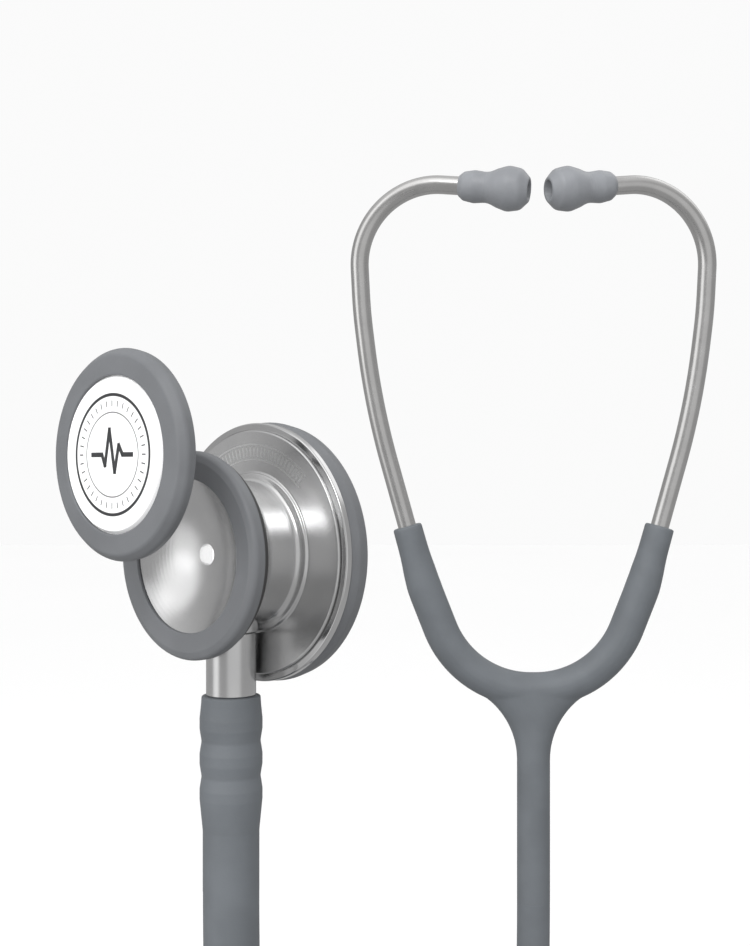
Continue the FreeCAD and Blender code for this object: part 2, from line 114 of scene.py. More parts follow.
# the free tube hangs from the yoke's leg in a U and comes up to the collar
cordShape = {"diameter": 0.010, "length": 0.3995}
route = [
    (0.0, 0.0146, -0.214),
    (0.0, 0.0146, -0.278),
    (-0.019845, -0.033622, -0.338),
    (-0.050715, -0.108634, -0.330),
    (-0.0735, -0.164, -0.236),
    (-0.0735, -0.164, -0.158),
]


def makeCord():
    line = bpy.data.curves.new("tubeLine", "CURVE")
    line.dimensions = "3D"
    spline = line.splines.new("NURBS")
    spline.points.add(len(route) - 1)
    for point, spot in zip(spline.points, route):
        point.co = (*spot, 1)
    spline.order_u = 3
    spline.use_endpoint_u = True
    spline.resolution_u = 32
    line.bevel_depth = cordShape["diameter"] / 2
    line.bevel_resolution = 10
    line.use_fill_caps = True
    piece = bpy.data.objects.new("freeTube", line)
    bpy.context.scene.collection.objects.link(piece)
    return piece


freeTube = makeCord()
print("camera and tube ready")


# shader maths
class Wire:
    # one output socket, with the operators of its numbers
    def __init__(self, board, socket):
        self.board = board
        self.socket = socket

    def __add__(self, other):
        return self.board.math("ADD", self, other)

    def __radd__(self, other):
        return self.board.math("ADD", other, self)

    def __sub__(self, other):
        return self.board.math("SUBTRACT", self, other)

    def __rsub__(self, other):
        return self.board.math("SUBTRACT", other, self)

    def __mul__(self, other):
        return self.board.math("MULTIPLY", self, other)

    def __rmul__(self, other):
        return self.board.math("MULTIPLY", other, self)

    def __truediv__(self, other):
        return self.board.math("DIVIDE", self, other)

    def __rtruediv__(self, other):
        return self.board.math("DIVIDE", other, self)

    def __pow__(self, other):
        return self.board.math("POWER", self, other)

    def __rpow__(self, other):
        return self.board.math("POWER", other, self)


class Board:
    # a node tree that nodes are added to
    def __init__(self, tree):
        self.tree = tree

    def node(self, kind, settings=None, values=None, output=0):
        # gives the output of that number or name, or a list of all of them for None
        made = self.tree.nodes.new(kind)
        for key, value in (settings or {}).items():
            setattr(made, key, value)
        for key, value in (values or {}).items():
            self.feed(made.inputs[key], value)
        if output is None:
            return [Wire(self, socket) for socket in made.outputs]
        return Wire(self, made.outputs[output])

    def feed(self, socket, value):
        if isinstance(value, Wire):
            self.tree.links.new(value.socket, socket)
        else:
            socket.default_value = value

    def math(self, operation, *values):
        return self.node("ShaderNodeMath", {"operation": operation}, dict(enumerate(values)))

    def smooth(self, value, low, high):
        # 0 below low, 1 above high, and softly between them
        return self.node("ShaderNodeMapRange", {"interpolation_type": "SMOOTHSTEP"},
                         {"Value": value, "From Min": low, "From Max": high})

    def noise(self, vector, scale, detail=3.0, roughness=0.5):
        return self.node("ShaderNodeTexNoise", None,
                         {"Vector": vector, "Scale": scale, "Detail": detail, "Roughness": roughness})

    def mixed(self, factor, first, second):
        # a mix of two colours
        return self.node("ShaderNodeMix", {"data_type": "RGBA"}, {0: factor, 6: first, 7: second}, 2)


def shade(*parts):
    return (*parts, 1.0) if len(parts) == 3 else (parts[0], parts[0], parts[0], 1.0)


class Finish(Board):
    # a material with its Principled shader
    def __init__(self, name, place=None):
        self.material = bpy.data.materials.new(name)
        self.material.use_nodes = True
        super().__init__(self.material.node_tree)
        self.shader = self.tree.nodes["Principled BSDF"]
        coords = self.node("ShaderNodeTexCoord", None, None, "Object")
        if place is not None:
            centre, turn = place.decompose()[:2]
            coords = self.node("ShaderNodeMapping", {"vector_type": "TEXTURE"},
                               {"Vector": coords, "Location": centre, "Rotation": turn.to_euler()})
        self.coords = coords

    def axes(self):
        # the three local coordinates, in millimetres
        split = self.node("ShaderNodeSeparateXYZ", None, {0: self.coords}, None)
        return [part / mm for part in split]

    def give(self, **values):
        # baseColor=..., roughness=... go to the shader's sockets of those names
        names = {"baseColor": "Base Color", "roughness": "Roughness", "metallic": "Metallic",
                 "normal": "Normal", "specular": "Specular IOR Level",
                 "glowColor": "Emission Color", "glow": "Emission Strength"}
        for key, value in values.items():
            self.feed(self.shader.inputs[names[key]], value)
        return self.material

    def bump(self, height, depth):
        # depth in millimetres for a height of 1
        return self.node("ShaderNodeBump", None, {"Height": height, "Distance": depth * mm})


def mouldedGrey(name, colour, roughness, grain=0.02):
    # soft moulded plastic: faint mottling, a fine satin grain and slightly uneven gloss
    finish = Finish(name)
    mottle = finish.noise(finish.coords, 90.0, 4.0)
    fine = finish.noise(finish.coords, 2600.0, 2.0, 0.6)
    dull = shade(*(part * 0.94 for part in colour))
    bright = shade(*(part * 1.06 for part in colour))
    tone = finish.mixed(finish.smooth(mottle, 0.35, 0.65), dull, bright)
    return finish.give(baseColor=tone, roughness=roughness + (mottle - 0.5) * 0.1,
                       normal=finish.bump(fine, grain), specular=0.4)


steelTone = {"roughness": 0.24, "polished": 0.12, "lineDepth": 0.0007}
# the flange's bright band, and under the sleeve a rougher ring whose colour is darkened with painted shade
band = {"inner": 21.95, "lipRadius": 16.5, "lipHeight": 6.6, "lipRoughness": 0.35, "lipPaintedShade": 0.12}
# a plain arc of short ticks between two fine rings, on the flange's upper part
engraving = {"halfArc": 0.78, "ticks": 120, "tickInner": 17.1, "tickOuter": 18.8, "ringMiddle": 18.0,
             "ringSpan": 1.35, "low": -5.4, "high": -4.7, "tone": 0.68, "roughness": 0.12, "depth": 6.0}


def turnedSteel(name, place, banded=False, engraved=False):
    # steel turned about the local Z axis: fine rings, slightly uneven gloss
    finish = Finish(name, place)
    x, y, z = finish.axes()
    radius = (x * x + y * y) ** 0.5
    rings = finish.node("ShaderNodeTexNoise", {"noise_dimensions": "1D"},
                        {"W": radius * 9.0 + z * 7.0, "Scale": 1.0, "Detail": 3.0, "Roughness": 0.7})
    cloud = finish.noise(finish.coords, 160.0, 3.0)
    rough = steelTone["roughness"] + (rings - 0.5) * 0.04 + (cloud - 0.5) * 0.03
    height = rings
    tone = finish.mixed(finish.smooth(cloud, 0.3, 0.7), shade(0.585, 0.585, 0.588), shade(0.62, 0.62, 0.62))
    if banded:
        bright = finish.smooth(radius, band["inner"], band["inner"] + 0.1)
        rough = rough * (1.0 - bright) + bright * steelTone["polished"]
        # under the sleeve the steel is rougher, and its colour is darkened as painted shade for the shadow
        # gap there
        lipDullAndShaded = finish.smooth(radius, band["lipRadius"], band["lipRadius"] + 0.2)
        lipDullAndShaded = lipDullAndShaded * finish.smooth(z, band["lipHeight"], band["lipHeight"] + 0.3)
        rough = rough + lipDullAndShaded * band["lipRoughness"]
        tone = finish.mixed(lipDullAndShaded, tone, shade(band["lipPaintedShade"]))
    if engraved:
        turn = finish.math("ARCTAN2", y, x)
        halfArc = engraving["halfArc"]
        arc = 1.0 - finish.smooth(finish.math("ABSOLUTE", turn), halfArc, halfArc + 0.02)
        step = finish.math("FRACT", turn * (engraving["ticks"] / math.tau))
        tick = 1.0 - finish.smooth(finish.math("ABSOLUTE", step - 0.5), 0.1, 0.16)
        ticks = tick * finish.smooth(radius, engraving["tickInner"], engraving["tickInner"] + 0.1)
        ticks = ticks * (1.0 - finish.smooth(radius, engraving["tickOuter"], engraving["tickOuter"] + 0.1))
        away = finish.math("ABSOLUTE", radius - engraving["ringMiddle"])
        edge = finish.math("ABSOLUTE", away - engraving["ringSpan"])
        line = 1.0 - finish.smooth(edge, 0.06, 0.12)
        front = finish.smooth(z, engraving["low"], engraving["low"] + 0.1)
        front = front * (1.0 - finish.smooth(z, engraving["high"], engraving["high"] + 0.1))
        mark = finish.math("MAXIMUM", ticks, line) * arc * front
        tone = finish.mixed(mark, tone, shade(engraving["tone"]))
        rough = rough + mark * engraving["roughness"]
        height = rings - mark * engraving["depth"]
    return finish.give(baseColor=tone, metallic=1.0, roughness=rough,
                       normal=finish.bump(height, steelTone["lineDepth"]))


def drawnSteel(name):
    # drawn wire and tube: a fine grain and slightly uneven gloss
    finish = Finish(name)
    cloud = finish.noise(finish.coords, 220.0, 3.0)
    fine = finish.noise(finish.coords, 3800.0, 2.0)
    tone = finish.mixed(cloud, shade(0.49, 0.485, 0.48), shade(0.585, 0.58, 0.575))
    return finish.give(baseColor=tone, metallic=1.0, roughness=0.26 + (cloud - 0.5) * 0.08,
                       normal=finish.bump(fine, 0.0012))


printed = {"outerRing": 9.85, "outerWidth": 0.27, "innerRing": 6.95, "innerWidth": 0.12,
           "tickInner": 7.9, "tickOuter": 8.9, "tickWidth": 0.12, "ticks": 36}


def printedWhite(name, place):
    # the glossy white disc with two printed rings and small ticks between them, sizes in millimetres
    finish = Finish(name, place)
    x, y, z = finish.axes()
    radius = (x * x + y * y) ** 0.5
    outer = 1.0 - finish.smooth(finish.math("ABSOLUTE", radius - printed["outerRing"]),
                                printed["outerWidth"] - 0.04, printed["outerWidth"] + 0.04)
    inner = 1.0 - finish.smooth(finish.math("ABSOLUTE", radius - printed["innerRing"]),
                                printed["innerWidth"] - 0.03, printed["innerWidth"] + 0.03)
    turn = finish.math("ARCTAN2", y, x)
    step = finish.math("FRACT", turn * (printed["ticks"] / math.tau) + 0.5)
    across = finish.math("ABSOLUTE", step - 0.5) * radius * (math.tau / printed["ticks"])
    tick = 1.0 - finish.smooth(across, printed["tickWidth"] - 0.03, printed["tickWidth"] + 0.03)
    past = finish.smooth(radius, printed["tickInner"] - 0.05, printed["tickInner"] + 0.05)
    beyond = finish.smooth(radius, printed["tickOuter"] - 0.05, printed["tickOuter"] + 0.05)
    ticks = tick * past * (1.0 - beyond)
    ink = finish.math("MAXIMUM", outer, finish.math("MAXIMUM", inner * 0.85, ticks * 0.95))
    grain = finish.noise(finish.coords, 1800.0, 2.0)
    cloud = finish.noise(finish.coords, 60.0, 2.0)
    white = finish.mixed(cloud, shade(0.88, 0.88, 0.885), shade(0.92, 0.92, 0.92))
    tone = finish.mixed(ink, white, shade(0.025, 0.026, 0.028))
    return finish.give(baseColor=tone, roughness=0.22 + ink * 0.12 + (cloud - 0.5) * 0.04,
                       normal=finish.bump(grain, 0.0015))


def plainPlastic(name, colour, roughness, glow=0.0):
    # glow is painted light: a wall that gives off light of its own, though it is no lamp
    finish = Finish(name)
    cloud = finish.noise(finish.coords, 300.0, 3.0)
    fine = finish.noise(finish.coords, 3000.0, 2.0)
    dull = shade(*(part * 0.94 for part in colour))
    bright = shade(*(part * 1.04 for part in colour))
    tone = finish.mixed(cloud, dull, bright)
    return finish.give(baseColor=tone, roughness=roughness + (cloud - 0.5) * 0.08,
                       normal=finish.bump(fine, 0.002), glowColor=shade(1.0), glow=glow)


greys = {
    "tubing": (0.108, 0.118, 0.129),
    "rim": (0.130, 0.135, 0.143),
    "tip": (0.200, 0.208, 0.222),
}
tubing = mouldedGrey("greyTubing", greys["tubing"], 0.5)
rimGrey = mouldedGrey("greyRim", greys["rim"], 0.45)
tipGrey = mouldedGrey("greyTip", greys["tip"], 0.36)
bodySteel = turnedSteel("satinSteel", chestPlace, banded=True, engraved=True)
stemSteel = turnedSteel("stemSteel", stemPlace)
earTubeSteel = drawnSteel("earTubeSteel")
springSteel = drawnSteel("springSteel")
capWhite = printedWhite("printedDisc", capPlace)
wideWhite = plainPlastic("wideDisc", (0.9, 0.9, 0.9), 0.25)
# painted light: the white sleeve glows so the shaded sound port looks white
glowingAcetal = plainPlastic("whiteAcetal", (0.92, 0.92, 0.92), 0.3, glow=1.1)
nylon = plainPlastic("coreNylon", (0.2, 0.2, 0.21), 0.5)
ink = plainPlastic("printInk", (0.026, 0.027, 0.029), 0.35)
print("materials ready")


# modelling helpers
def roundedRows(rows, closed):
    # rows of radius, height and an optional corner radius become a fine line with tangent arcs
    points = []
    count = len(rows)
    for index, row in enumerate(rows):
        spot = Vector(row[:2])
        radius = row[2] if len(row) > 2 else 0
        if radius == 0 or not (closed or 0 < index < count - 1):
            points.append(spot)
            continue
        back = (Vector(rows[index - 1][:2]) - spot).normalized()
        ahead = (Vector(rows[(index + 1) % count][:2]) - spot).normalized()
        halfTurn = (math.pi - back.angle(ahead)) / 2
        reach = radius * math.tan(halfTurn)
        centre = spot + (back + ahead).normalized() * (radius / math.cos(halfTurn))
        start = spot + back * reach - centre
        turn = start.angle_signed(spot + ahead * reach - centre)
        steps = max(3, round(abs(turn) / math.radians(9)))
        for step in range(steps + 1):
            angle = -turn * step / steps
            cosine, sine = math.cos(angle), math.sin(angle)
            turned = Vector((start.x * cosine - start.y * sine, start.x * sine + start.y * cosine))
            points.append(centre + turned)
    if closed:
        points.append(points[0])
    return heldRuns(points)


def heldRuns(points, hold=0.08, longRun=0.7):
    # a point close to each end of a long straight run keeps its shading flat
    held = [points[0]]
    for before, after in zip(points, points[1:]):
        run = after - before
        if run.length > longRun:
            held.append(before + run * (hold / run.length))
            held.append(after - run * (hold / run.length))
        held.append(after)
    return held


def deselectAll():
    for other in list(bpy.context.selected_objects):
        other.select_set(False)


def activate(piece):
    deselectAll()
    piece.select_set(True)
    bpy.context.view_layer.objects.active = piece


def settle(piece, name, material, angle=32):
    # smooth shading, name, finish
    activate(piece)
    bpy.ops.object.shade_smooth_by_angle(angle=math.radians(angle))
    piece.name = name
    piece.data.name = name
    piece.data.materials.clear()
    piece.data.materials.append(material)
    return piece


def turnedPiece(name, rows, place, material, steps=144, closed=True):
    # a line of vertices is extruded point by point and spun about the local Z axis
    points = [point * mm for point in roundedRows(rows, closed)]
    deselectAll()
    bpy.ops.mesh.primitive_plane_add(size=mm, location=(0, 0, 0))
    piece = bpy.context.object
    bpy.ops.object.mode_set(mode="EDIT")
    bpy.ops.mesh.select_mode(type="VERT")
    bpy.ops.mesh.select_all(action="SELECT")
    bpy.ops.mesh.merge(type="CENTER")
    bpy.ops.transform.translate(value=(points[0].x, 0, points[0].y))
    for before, after in zip(points, points[1:]):
        shift = (after.x - before.x, 0, after.y - before.y)
        bpy.ops.mesh.extrude_region_move(TRANSFORM_OT_translate={"value": shift})
    bpy.ops.mesh.select_all(action="SELECT")
    bpy.ops.mesh.spin(steps=steps, angle=math.tau, center=(0, 0, 0), axis=(0, 0, 1))
    bpy.ops.mesh.select_all(action="SELECT")
    bpy.ops.mesh.remove_doubles(threshold=0.002 * mm)
    bpy.ops.mesh.normals_make_consistent(inside=False)
    bpy.ops.object.mode_set(mode="OBJECT")
    activate(piece)
    piece.matrix_world = place
    bpy.ops.object.transform_apply(location=True, rotation=True, scale=True)
    return settle(piece, name, material)


def sweptPiece(name, path, radius, widths=None, sides=11):
    # a round bar along a fine path, made a mesh
    line = bpy.data.curves.new(name, "CURVE")
    line.dimensions = "3D"
    spline = line.splines.new("POLY")
    spline.points.add(len(path) - 1)
    for index, spot in enumerate(path):
        spline.points[index].co = (*spot, 1)
        spline.points[index].radius = widths[index] if widths else 1.0
    line.bevel_depth = radius
    line.bevel_resolution = sides
    line.use_fill_caps = True
    piece = bpy.data.objects.new(name, line)
    bpy.context.scene.collection.objects.link(piece)
    activate(piece)
    bpy.ops.object.convert(target="MESH")
    piece = bpy.context.object
    bpy.ops.object.mode_set(mode="EDIT")
    bpy.ops.mesh.select_all(action="SELECT")
    bpy.ops.mesh.remove_doubles(threshold=0.002 * mm)
    bpy.ops.mesh.normals_make_consistent(inside=False)
    bpy.ops.object.mode_set(mode="OBJECT")
    return piece


def cutFlat(piece, at, normal):
    # everything on the normal's side goes, and the cut is closed
    activate(piece)
    bpy.ops.object.mode_set(mode="EDIT")
    bpy.ops.mesh.select_all(action="SELECT")
    bpy.ops.mesh.bisect(plane_co=at, plane_no=normal, use_fill=True, clear_outer=True)
    bpy.ops.object.mode_set(mode="OBJECT")
    return piece


def copyOf(source, name):
    # a copy with its own mesh, not tied to a body
    piece = source.copy()
    piece.data = source.data.copy()
    piece.parent = None
    piece.matrix_world = Matrix.Identity(4)
    piece.name = name
    bpy.context.scene.collection.objects.link(piece)
    piece.hide_render = False
    piece.hide_viewport = False
    return piece


def applied(piece, kind, **settings):
    activate(piece)
    modifier = piece.modifiers.new(kind.lower(), kind)
    for key, value in settings.items():
        setattr(modifier, key, value)
    bpy.ops.object.modifier_apply(modifier=modifier.name)
    return piece


def pathPoints(corners, radii, spacing=1.5):
    # straight runs and tangent arcs as a fine line, in metres
    points = [corners[0]]
    for index in range(1, len(corners) - 1):
        spot = corners[index]
        back = (corners[index - 1] - spot).normalized()
        ahead = (corners[index + 1] - spot).normalized()
        halfTurn = (math.pi - back.angle(ahead)) / 2
        reach = radii[index] * math.tan(halfTurn)
        centre = spot + (back + ahead).normalized() * (radii[index] / math.cos(halfTurn))
        start = spot + back * reach - centre
        end = spot + ahead * reach - centre
        turn = 2 * halfTurn  # the arc's whole angle
        steps = max(6, round(turn * radii[index] / spacing))
        for step in range(steps + 1):
            angle = turn * step / steps
            points.append(centre + (start * math.sin(turn - angle) + end * math.sin(angle)) / math.sin(turn))
    points.append(corners[-1])
    fine = []
    for before, after in zip(points, points[1:]):
        parts = max(1, math.ceil((after - before).length / (3 * spacing)))
        fine += [before.lerp(after, part / parts) for part in range(parts)]
    fine.append(points[-1])
    return [point * mm for point in fine]


# chestpiece body, turned about the bell's axis
body = {"cupRadius": 13.7, "cupFloor": 5.5, "mouth": 10.0, "holeRadius": 1.9, "chamber": 20.2,
        "bossRadius": 4.8, "bossStart": 3.0, "bossEnd": 13.8}
cupDepth = body["mouth"] - body["cupFloor"]
dishRadius = (body["cupRadius"] ** 2 + cupDepth ** 2) / (2 * cupDepth)


def cupRows():
    # the bell's cup is part of a sphere
    rows = []
    count = 18
    for step in range(count + 1):
        radius = body["cupRadius"] + (body["holeRadius"] - body["cupRadius"]) * step / count
        rows.append((radius, body["cupFloor"] + dishRadius - math.sqrt(dishRadius ** 2 - radius ** 2)))
    return rows


bodyRows = [
    (body["chamber"], -9.6), (21.7, -9.6, 0.2), (21.7, -6.9), (23.2, -6.9, 0.25), (23.2, -5.6, 0.35),
    (22.08, -5.55), (22.08, -5.85), (21.85, -5.85), (21.85, -4.9, 0.3), (14.35, -5.15, 0.4),
    (14.1, -4.6, 0.4), (12.6, -4.35, 1.2), (12.6, 3.4, 3.4),
    (16.95, 6.6, 0.8), (17.45, 7.3, 0.2), (17.45, 8.1, 0.2), (16.0, 8.1), (16.0, 9.1), (16.6, 9.1, 0.2),
    (16.6, body["mouth"], 0.3), *cupRows(), (body["holeRadius"], -7.7), (body["chamber"], -9.0),
]
chestBody = turnedPiece("chestBody", bodyRows, chestPlace, bodySteel, steps=192)


def addBoss():
    # a short round boss below the hub carries the stem
    down = placeAt(chestCentre, -up, bellAxis)
    radius, start, end = body["bossRadius"], body["bossStart"], body["bossEnd"]
    rows = [(0, start), (radius, start), (radius, end, 0.25), (0, end)]
    boss = turnedPiece("boss", rows, down, bodySteel, steps=96, closed=False)
    applied(chestBody, "BOOLEAN", operation="UNION", object=boss, solver="EXACT")
    bpy.data.objects.remove(boss)
    settle(chestBody, "chestBody", bodySteel)


addBoss()
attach(chestBody, "chestpiece")
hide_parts("chestpiece_body")

wideRimRows = [
    (21.75, -6.95), (23.05, -6.95, 0.08), (23.1, -7.4, 0.5), (23.4, -8.8, 1.5), (22.9, -11.35, 0.9),
    (20.6, -11.35, 0.3), (20.6, -10.6), (21.75, -10.6),
]
wideRim = turnedPiece("wideRim", wideRimRows, chestPlace, rimGrey, steps=192)
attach(wideRim, "chestpiece")
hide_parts("large_rim")

wideDiscRows = [
    (0, -11.35), (19.4, -11.35), (20.4, -10.1), (21.2, -10.1), (21.2, -10.55), (20.4, -10.55),
    (19.4, -11.8, 0.25), (0, -11.8),
]
wideDisc = turnedPiece("wideDisc", wideDiscRows, chestPlace, wideWhite, steps=160, closed=False)
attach(wideDisc, "wide_diaphragm")
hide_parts("large_diaphragm")

sleeveRows = [
    (16.05, 8.15), (18.02, 8.15, 0.3), (18.02, 10.3, 1.0), (16.62, 10.8, 0.6), (13.3, 10.65, 0.3),
    (13.3, 10.05), (16.65, 10.05), (16.65, 9.05), (16.05, 9.05),
]
bellSleeve = turnedPiece("bellSleeve", sleeveRows, chestPlace, rimGrey, steps=160)
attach(bellSleeve, "chestpiece")
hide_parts("bell_sleeve")

capRimRows = [
    (16.2, 8.2), (17.37, 8.2, 0.3), (17.67, 9.9, 1.2), (16.57, 11.25, 1.0), (13.05, 11.5, 0.25),
    (13.05, 10.9), (16.65, 10.9), (16.65, 9.05), (16.2, 9.05),
]
capRim = turnedPiece("capRim", capRimRows, capPlace, rimGrey, steps=160)
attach(capRim, "small_cap")
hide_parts("small_rim")

capDiscRows = [
    (0, 11.2), (11.9, 11.2), (13.0, 10.45), (14.8, 10.45), (14.8, 10.85), (13.0, 10.85),
    (12.5, 11.6, 0.2), (0, 11.6),
]
capDisc = turnedPiece("capDisc", capDiscRows, capPlace, capWhite, steps=160, closed=False)
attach(capDisc, "cap_diaphragm")
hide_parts("small_diaphragm")

# a plain pulse line is printed in the middle of the cap's disc
pulse = {
    "width": 0.8, "height": 0.06, "overlap": 0.25, "face": 11.6,
    "line": [
        (-5.4, 0.0), (-2.8, 0.0), (-1.8, 1.6), (-0.7, -2.9),
        (0.7, 4.2), (1.9, -1.8), (2.7, 0.0), (5.4, 0.0),
    ],
}


def makePulse():
    line = bpy.data.curves.new("pulseLine", "CURVE")
    line.dimensions = "3D"
    for before, after in zip(pulse["line"], pulse["line"][1:]):
        # each stroke runs a little past its ends
        first, last = Vector((before[1], before[0], 0)), Vector((after[1], after[0], 0))
        extra = (last - first).normalized() * pulse["overlap"]
        stroke = line.splines.new("POLY")
        stroke.points.add(1)
        stroke.points[0].co = (*((first - extra) * mm), 1)
        stroke.points[1].co = (*((last + extra) * mm), 1)
    line.bevel_depth = pulse["width"] / 2 * mm
    line.bevel_resolution = 3
    line.use_fill_caps = True
    piece = bpy.data.objects.new("pulseLine", line)
    bpy.context.scene.collection.objects.link(piece)
    activate(piece)
    bpy.ops.object.convert(target="MESH")
    piece = bpy.context.object
    bpy.ops.object.mode_set(mode="EDIT")
    bpy.ops.mesh.select_all(action="SELECT")
    flat = pulse["height"] / pulse["width"]
    bpy.ops.transform.resize(value=(1, 1, flat), center_override=(0, 0, 0))
    bpy.ops.transform.translate(value=(0, 0, pulse["face"] * mm))
    bpy.ops.mesh.normals_make_consistent(inside=False)
    bpy.ops.object.mode_set(mode="OBJECT")
    activate(piece)
    piece.matrix_world = capPlace
    bpy.ops.object.transform_apply(location=True, rotation=True, scale=True)
    return settle(piece, "pulseLine", ink)


pulseLine = makePulse()
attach(pulseLine, "cap_diaphragm")
print("chestpiece ready")

# stem with its journal and the barb inside the collar
collarHead = (collarTop - chestCentre.z) / mm
stemFoot = collarHead - 0.05
barbEnd = collarHead - 18.0
stemRows = [
    (0, 9.9), (2.6, 9.9, 0.2), (2.6, -11.2), (3.3, -12.1), (3.3, -13.9), (4.42, -13.9, 0.3),
    (4.42, stemFoot, 0.3), (2.9, stemFoot), (2.9, barbEnd), (0, barbEnd),
]
stem = turnedPiece("stem", stemRows, stemPlace, stemSteel, steps=96, closed=False)
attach(stem, "headset")
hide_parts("stem")

# the tube's end over the stem has three soft bulges
collar = {"bulge": 5.55, "waist": 5.2, "pitch": 6.2, "firstBulge": 4.9, "tube": 5.0}


def collarRows():
    top = collarHead
    bottom = (collarBottom - chestCentre.z) / mm
    rows = [(0, top), (collar["waist"], top, 0.35), (5.3, top - 1.6, 1.0)]
    for bulge in range(3):
        height = top - collar["firstBulge"] - bulge * collar["pitch"]
        rows.append((collar["bulge"], height + 0.9, 1.6))
        rows.append((collar["bulge"], height - 0.9, 1.6))
        if bulge < 2:
            rows.append((collar["waist"], height - collar["pitch"] / 2, 1.6))
    rows += [(collar["tube"], height - 6.5, 6.0), (collar["tube"], bottom), (0, bottom)]
    return rows


tubeCollar = turnedPiece("tubeCollar", collarRows(), stemPlace, tubing, steps=96, closed=False)
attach(tubeCollar, "headset")
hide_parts("tube_collar")

freeTube.data.materials.append(tubing)
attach(freeTube, "headset")
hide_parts("tube")

# yoke: a bend with two arms, and a leg that flares into it
yoke = {"armTop": (38.3, -100.3), "armTilt": 15.6, "spread": 21.5, "elbow": 19.0, "elbowBend": 60.0,
        "bottom": -149.8, "bend": 29.4, "armRadius": 5.25, "fillet": 23.5, "legRadius": 5.0,
        "grain": 0.45, "overshoot": 3.0,
        "taper": [(0, 4.45), (7, 4.52), (9, 4.58), (11, 4.7), (14, 4.97), (16, 5.07), (19, 5.25)]}
planeY = headsetY / mm


def tilted(angle):
    return Vector((math.sin(math.radians(angle)), 0, math.cos(math.radians(angle))))


armTop = Vector((yoke["armTop"][0], planeY, yoke["armTop"][1]))
armHeading = tilted(yoke["armTilt"])
elbow = armTop - armHeading * yoke["elbow"]
drop = elbow.z - yoke["bottom"]
bendFoot = elbow - Vector((drop * math.tan(math.radians(yoke["spread"])), 0, drop))


def armWidth(spot):
    # share of the arm's full radius, thinner towards its top
    below = (armTop - Vector((abs(spot.x) / mm, planeY, spot.z / mm))).dot(armHeading)
    stops = yoke["taper"]
    if below >= stops[-1][0]:
        return 1.0
    for (start, first), (end, second) in zip(stops, stops[1:]):
        if below <= end:
            share = max(0.0, (below - start) / (end - start))
            return (first + (second - first) * share) / yoke["armRadius"]


def makeBend():
    corners = [armTop, elbow, bendFoot, mirroredPoint(bendFoot), mirroredPoint(elbow), mirroredPoint(armTop)]
    radii = [0, yoke["elbowBend"], yoke["bend"], yoke["bend"], yoke["elbowBend"], 0]
    path = pathPoints(corners, radii, 0.8)
    widths = [armWidth(spot) for spot in path]
    return sweptPiece("bend", path, yoke["armRadius"] * mm, widths, 14)


def makeLeg():
    # rings from the leg's end up into the bend, widened by the fillet circle
    centreX = yoke["legRadius"] + yoke["fillet"]
    outerBend = yoke["bend"] + yoke["armRadius"]
    bendCentre = yoke["bottom"] + yoke["bend"]
    rise = math.sqrt((outerBend + yoke["fillet"]) ** 2 - centreX ** 2)
    base = bendCentre - rise
    top = rise * yoke["fillet"] / (outerBend + yoke["fillet"])
    bottom = legEnd.z / mm - yoke["overshoot"]
    deselectAll()
    bpy.ops.mesh.primitive_circle_add(vertices=64, radius=yoke["legRadius"] * mm, fill_type="NGON",
                                      location=(0, headsetY, bottom * mm))
    leg = bpy.context.object
    bpy.ops.object.transform_apply(location=True, rotation=False, scale=False)
    bpy.ops.object.mode_set(mode="EDIT")
    bpy.ops.mesh.select_all(action="SELECT")
    bpy.ops.mesh.extrude_region_move(TRANSFORM_OT_translate={"value": (0, 0, (base - bottom) * mm)})
    width, depth = yoke["legRadius"], yoke["legRadius"]
    steps = 14
    for step in range(1, steps + 1):
        height = top * step / steps
        newWidth = centreX - math.sqrt(yoke["fillet"] ** 2 - height ** 2)
        newDepth = yoke["legRadius"] + (yoke["armRadius"] - yoke["legRadius"]) * step / steps
        bpy.ops.mesh.extrude_region_move(TRANSFORM_OT_translate={"value": (0, 0, top / steps * mm)})
        bpy.ops.transform.resize(value=(newWidth / width, newDepth / depth, 1),
                                 center_override=(0, headsetY, (base + height) * mm))
        width, depth = newWidth, newDepth
    bpy.ops.mesh.select_all(action="SELECT")
    bpy.ops.mesh.normals_make_consistent(inside=False)
    bpy.ops.object.mode_set(mode="OBJECT")
    return leg


def makeYoke():
    # the two solids grow together in a fine remesh, and smoothing rounds their joint
    whole = makeBend()
    leg = makeLeg()
    activate(whole)
    leg.select_set(True)
    bpy.ops.object.join()
    whole = bpy.context.object
    applied(whole, "REMESH", mode="VOXEL", voxel_size=yoke["grain"] * mm)
    applied(whole, "SMOOTH", factor=0.5, iterations=8)
    return cutFlat(whole, legEnd, (0, 0, -1))


def makeHalves(whole, name, material, angle):
    # the whole is cut into a left and a right half
    halves = []
    for side, label in ((-1, "left"), (1, "right")):
        half = copyOf(whole, name + label.capitalize())
        cutFlat(half, (0, headsetY, 0), (-side, 0, 0))
        settle(half, name + label.capitalize(), material, angle)
        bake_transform(half)
        halves.append(half)
    return halves


wholeYoke = makeYoke()
for half in makeHalves(wholeYoke, "yoke", tubing, 60):
    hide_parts("yoke")
bpy.data.objects.remove(wholeYoke)


def mergedCopy(node):
    piece = copyOf(nodes[node], "copy")
    activate(piece)
    bpy.ops.object.mode_set(mode="EDIT")
    bpy.ops.mesh.select_all(action="SELECT")
    bpy.ops.mesh.remove_doubles(threshold=0.002 * mm)
    bpy.ops.object.mode_set(mode="OBJECT")
    return piece


wholeSpring = mergedCopy("leaf_spring")
for half in makeHalves(wholeSpring, "spring", springSteel, 30):
    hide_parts("leaf_spring")
bpy.data.objects.remove(wholeSpring)
print("yoke ready")

